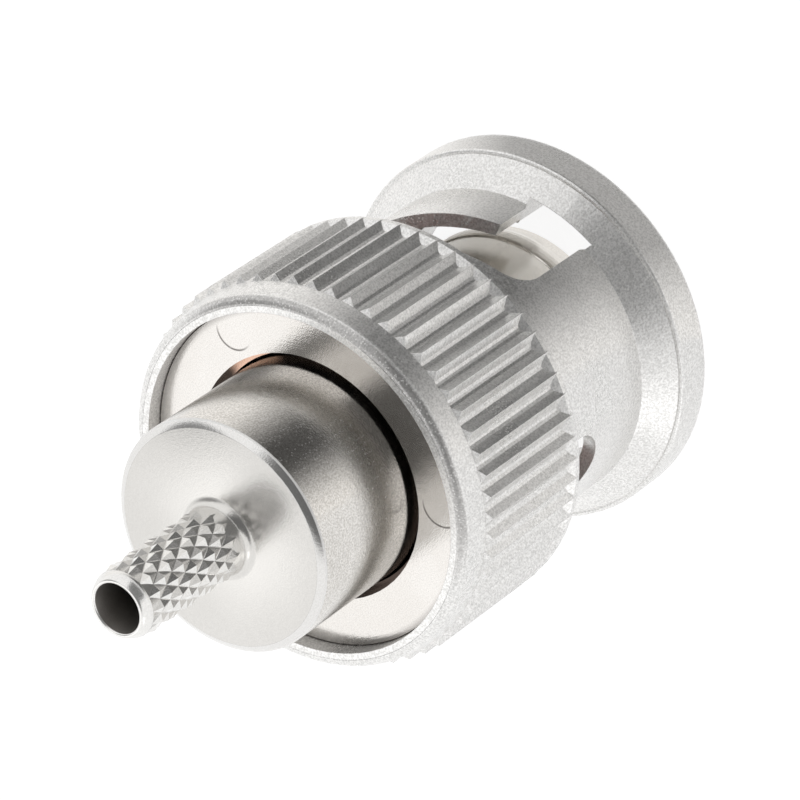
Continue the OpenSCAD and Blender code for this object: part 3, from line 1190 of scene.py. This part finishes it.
# The studio.


def direction(azimuth: float, elevation: float) -> Vector:
    """Gives the way from the plug, by degrees round from the X axis and above the floor."""
    a, e = math.radians(azimuth), math.radians(elevation)
    return Vector((math.cos(a) * math.cos(e), math.sin(a) * math.cos(e), math.sin(e)))


@dataclass(frozen=True)
class Lamp:
    """One soft square lamp that looks at the plug, with its sizes in millimetres."""

    name: str
    azimuth: float
    elevation: float
    side: float
    watts: float
    distance: float = 160.0
    aim_height: float = 10.0

    def build(self) -> None:
        """Hangs the lamp."""
        way = direction(self.azimuth, self.elevation)
        data = bpy.data.lights.new(self.name, "AREA")
        data.energy, data.size = self.watts, self.side * MM
        lamp = link(self.name, data)
        lamp.location = (Vector((0, 0, self.aim_height)) + way * self.distance) * MM
        lamp.rotation_euler = way.to_track_quat("Z", "Y").to_euler()


@dataclass
class Camera:
    """The camera, with lengths in millimetres and angles in degrees."""

    azimuth: float = -23.36
    elevation: float = 45.93
    lean: float = 124.417
    distance: float = 187.740
    target: Triple = (2.0661, -0.4607, 10.3369)
    lens: float = 247.5
    sensor: float = 36.0

    def build(self) -> None:
        """Sets the camera at its viewing angle."""
        back = direction(self.azimuth, self.elevation)
        level = Vector((0, 0, 1)).cross(back).normalized()
        upright = back.cross(level)
        lean = math.radians(self.lean)
        up = upright * math.cos(lean) + level * math.sin(lean)
        right = up.cross(back)
        data = bpy.data.cameras.new("camera")
        data.lens, data.sensor_width = self.lens, self.sensor
        data.clip_start, data.clip_end = 0.01, 10
        camera = link("camera", data)
        camera.matrix_world = Matrix((right, up, back)).transposed().to_4x4()
        camera.matrix_world.translation = (Vector(self.target) + back * self.distance) * MM
        bpy.context.scene.camera = camera


def stage_card(
    name: str, points: list[Triple], faces: list[tuple[int, ...]], looks: dict[str, object]
) -> tuple[bpy.types.Object, Tree, Node]:
    """Makes a flat stage piece with its material.

    Args:
        name: The name of both.
        points: Its corners in metres.
        faces: Its faces.
        looks: The constant inputs of its shader.

    Returns:
        The piece, its material's tree and its shader.
    """
    mesh = bpy.data.meshes.new(name)
    mesh.from_pydata(points, [], faces)
    card = link(name, mesh)
    material = bpy.data.materials.new(name)
    material.use_nodes = True
    tree = Tree(material.node_tree)
    shader = material.node_tree.nodes["Principled BSDF"]
    for key, value in looks.items():
        tree.put(shader.inputs[key], value)
    dress(card, material)
    return card, tree, shader


@dataclass
class Floor:
    """The pale floor that the plug stands on, which shows as white."""

    reach: float = 2.0
    glow: float = 0.88

    def build(self) -> None:
        """Lays the floor."""
        s = self.reach
        looks = {"Base Color": (0.25, 0.25, 0.25, 1), "Emission Color": (1, 1, 1, 1)}
        looks |= {"Roughness": 0.9, "Specular IOR Level": 0.1}
        corners = [(-s, -s, 0), (s, -s, 0), (s, s, 0), (-s, s, 0)]
        _, t, shader = stage_card("floor", corners, [(0, 1, 2, 3)], looks)
        path = t.add("ShaderNodeLightPath").outputs
        rays = (path[f"Is {kind} Ray"] for kind in ("Camera", "Glossy", "Transmission"))
        seen = t.fold("MAXIMUM", *rays)
        t.put(shader.inputs["Emission Strength"], t.math("MULTIPLY", seen, self.glow))


@dataclass
class Flag:
    """The dark card round one side of the plug, which metal shows as its dark band.

    Radii and heights are in millimetres, and turns in degrees.
    """

    inner: float = 7.15
    outer: float = 160.0
    first: float = -56.0
    last: float = 104.0
    steps: int = 48
    height: float = 0.05
    left_fade: float = -4.0
    right_fade: tuple[float, float] = (10.0, 66.0)
    near_fade: tuple[float, float] = (10.0, 8.4)
    near_light: float = 0.36
    light: float = 1.02
    least_light: float = 0.08

    def build(self, effects: Effects) -> None:
        """Lays the card.

        Args:
            effects: The shared node groups.
        """
        points, faces = [], []
        for k in range(self.steps + 1):
            a = math.radians(self.first + (self.last - self.first) * k / self.steps)
            for r in (self.inner, self.outer):
                points.append((r * MM * math.cos(a), r * MM * math.sin(a), self.height * MM))
            if k:
                faces.append((2 * k - 2, 2 * k - 1, 2 * k + 1, 2 * k))
        looks = {"Base Color": (0.02, 0.02, 0.02, 1), "Emission Color": (1, 0.985, 0.965, 1)}
        looks |= {"Roughness": 1.0, "Specular IOR Level": 0.0}
        flag, t, shader = stage_card("flag", points, faces, looks)
        point = t.add("ShaderNodeTexCoord").outputs["Object"]
        polar = t.fed("ShaderNodeGroup", point, node_tree=effects.polar).outputs
        left = t.ramp(polar["Turn"], self.left_fade, self.first)
        right = t.ramp(polar["Turn"], *self.right_fade)
        near = t.ramp(polar["Radius"], *self.near_fade, 0.0, self.near_light)
        light = t.fold("MAXIMUM", left, right, near)
        strength = t.math("MULTIPLY_ADD", light, self.light, self.least_light)
        t.put(shader.inputs["Emission Strength"], strength)
        for rays in ("camera", "diffuse", "shadow", "transmission"):
            setattr(flag, "visible_" + rays, False)


@dataclass
class Surround:
    """The world: pale all round, with a dark strip on the open side and a dark spot."""

    strength: float = 1.1
    depth: float = 0.84
    strip_normal: Triple = (-0.175, -0.960, -0.217)
    strip_edge: tuple[float, float] = (0.56, 0.36)
    side: float = -10.0
    side_rise: float = 0.3
    side_edge: tuple[float, float] = (0.1, 0.4)
    spot_way: Triple = (-0.19, 0.67, 0.72)
    spot_edge: tuple[float, float] = (0.935, 0.985)
    spot_depth: float = 0.85

    def build(self) -> None:
        """Makes the world."""
        world = bpy.data.worlds.new("surround")
        bpy.context.scene.world = world
        world.use_nodes = True
        t = Tree(world.node_tree)
        back = world.node_tree.nodes["Background"]
        way = t.add("ShaderNodeTexCoord").outputs["Generated"]
        side = math.radians(self.side)
        toward = t.dot(way, (math.cos(side), math.sin(side), self.side_rise))
        away = t.math("ABSOLUTE", t.dot(way, self.strip_normal))
        strip = t.ramp(away, *self.strip_edge)
        strip = t.math("MULTIPLY", strip, t.ramp(toward, *self.side_edge))
        spot = t.ramp(t.dot(way, self.spot_way), *self.spot_edge, 0.0, self.spot_depth)
        shade = t.math("MAXIMUM", strip, spot)
        strength = t.math("MULTIPLY_ADD", shade, -self.strength * self.depth, self.strength)
        t.put(back.inputs["Strength"], strength)
        t.put(back.inputs["Color"], (1, 1, 1, 1))


@dataclass
class Studio:
    """Camera, floor, card, world and lamps."""

    lamps: tuple[Lamp, ...] = (
        Lamp("top", azimuth=157.0, elevation=50.0, side=60.0, watts=0.004),
        Lamp("side", azimuth=-110.0, elevation=25.0, side=50.0, watts=0.006),
    )

    def build(self, effects: Effects) -> None:
        """Makes the whole studio.

        Args:
            effects: The shared node groups.
        """
        bpy.context.scene.view_settings.view_transform = "Standard"
        Flag().build(effects)
        for part in (Camera(), Floor(), Surround(), *self.lamps):
            part.build()


def main() -> None:
    """Builds the plug's pieces in order, then the studio."""
    effects = Effects()
    stock = {finish.name: finish.build(effects) for finish in FINISHES}
    for part in (PlugBody(), Coupling(), Springs(), Mating()):
        part.build(stock)
    Studio().build(effects)


if __name__ == "__main__":
    logging.basicConfig(level=logging.INFO, format="%(name)s: %(message)s")
    main()
